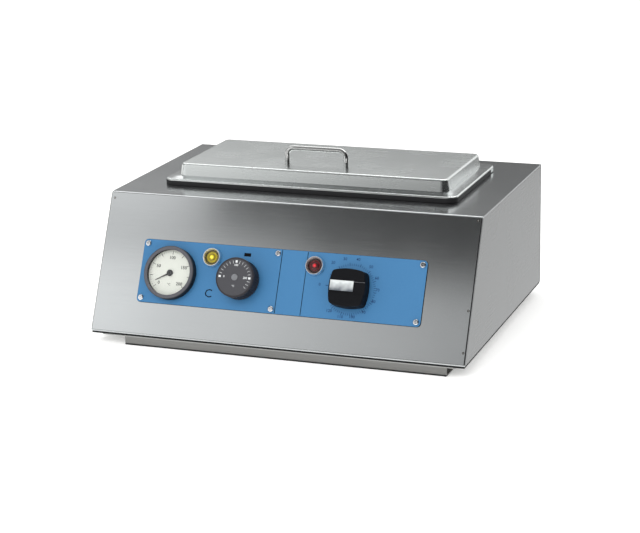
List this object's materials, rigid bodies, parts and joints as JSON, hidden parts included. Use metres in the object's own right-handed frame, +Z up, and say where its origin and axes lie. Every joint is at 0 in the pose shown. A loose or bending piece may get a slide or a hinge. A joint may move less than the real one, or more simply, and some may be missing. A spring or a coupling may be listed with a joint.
{
  "type": "hot air sterilizer",
  "caption": "Bench hot air sterilizer: stainless casing with sloping blue control panel, dial thermometer, knobs and a hinged lid with a handle over the chamber.",
  "frame": {"origin": "middle of the bounding box at the level of the table", "axes": "+X to the right seen from the front, +Y to the back, +Z up"},
  "size_m": [0.46, 0.3468, 0.215],
  "materials": {
    "stainless": "brushed",
    "stainless_bright": "polished",
    "stainless_dull": "satin",
    "zinc_steel": "satin",
    "silicone": "matte",
    "mineral_wool": "matte",
    "galvanised": "satin",
    "heater_sheath": "matte",
    "ceramic": "matte",
    "copper": "satin",
    "phenolic": "matte",
    "panel_blue": "satin",
    "chrome": "polished",
    "black_steel": "satin",
    "brass": "satin",
    "dial_white": "matte",
    "grey_steel": "satin",
    "clear_glass": "clear",
    "black_plastic": "satin",
    "amber_lens": "clear",
    "red_lens": "clear",
    "nylon": "matte",
    "grey_plastic": "matte",
    "silver_plate": "brushed"
  },
  "bodies": {
    "housing": {"casing_wrap": "stainless", "right_side_panel": "stainless", "left_side_panel": "stainless", "base_pan": "stainless_dull", "front_rail": "stainless_dull", "rear_rail": "stainless_dull", "base_screws": "zinc_steel", "tank": "stainless_dull", "lid_gasket": "silicone", "chamber_wool": "mineral_wool", "wool_box": "galvanised", "box_supports": "galvanised", "heating_element": "heater_sheath", "heater_clips": "galvanised", "heater_bushes": "ceramic", "heater_studs": "zinc_steel", "thermostat_bulb": "copper", "thermometer_bulb": "copper", "bulb_clips": "stainless_dull", "safety_cutout": "phenolic", "control_panel": "panel_blue", "panel_screws": "chrome", "thermometer_case": "black_steel", "thermometer_movement": "brass", "thermometer_dial": "dial_white", "thermometer_bezel": "grey_steel", "thermometer_glass": "clear_glass", "thermometer_clamp": "zinc_steel", "lamp_bezels": "chrome", "yellow_lamp_lens": "amber_lens", "red_lamp_lens": "red_lens", "lamp_bodies": "nylon", "lamp_nuts": "zinc_steel", "thermostat_body": "phenolic", "timer_body": "phenolic", "mains_inlet": "black_plastic", "inlet_pins": "brass", "inlet_screws": "zinc_steel", "terminal_block": "ceramic", "terminal_screws": "brass", "earth_stud": "brass", "casing_hinge_leaves": "stainless_dull", "hinge_pins": "zinc_steel", "hinge_rivets": "zinc_steel"},
    "lid": {"lid_shell": "stainless_bright", "lid_liner": "stainless_dull", "lid_wool": "mineral_wool", "lid_handle": "chrome", "handle_nuts": "zinc_steel", "lid_hinge_leaves": "stainless_dull"},
    "tray": {"instrument_tray": "stainless_dull", "tray_grips": "stainless_dull"},
    "thermostat_control": {"thermostat_knob": "black_plastic", "thermostat_knob_cap": "grey_plastic", "thermostat_spindle": "zinc_steel"},
    "timer_control": {"timer_knob": "black_plastic", "timer_knob_plate": "silver_plate", "timer_spindle": "zinc_steel"},
    "needle": {"thermometer_pointer": "black_plastic"}
  },
  "joints": [
    {"name": "lid_hinge", "type": "hinge", "parent": "housing", "child": "lid", "pos_m": [0, 0.1264, 0.1714], "axis": [-1, 0, 0], "range_deg": [0, 100]},
    {"name": "tray_lift", "type": "slide", "parent": "housing", "child": "tray", "axis": [0, 0, 1], "range_m": [0, 0.088]},
    {"name": "thermostat_turn", "type": "hinge", "parent": "housing", "child": "thermostat_control", "pos_m": [-0.0484, -0.14115, 0.08296], "axis": [0, -0.8985, 0.439], "range_deg": [-90, 130]},
    {"name": "timer_turn", "type": "hinge", "parent": "housing", "child": "timer_control", "pos_m": [0.0867, -0.14115, 0.08296], "axis": [0, -0.8985, 0.439], "range_deg": [-302, 0]},
    {"name": "pointer_turn", "type": "hinge", "parent": "housing", "child": "needle", "pos_m": [-0.1365, -0.1408, 0.08368], "axis": [0, -0.8985, 0.439], "range_deg": [-251, 13]}
  ],
  "couplings": [
    {"joint": "tray_lift", "follows": "lid_hinge", "m_per_rad": 0.05}
  ]
}
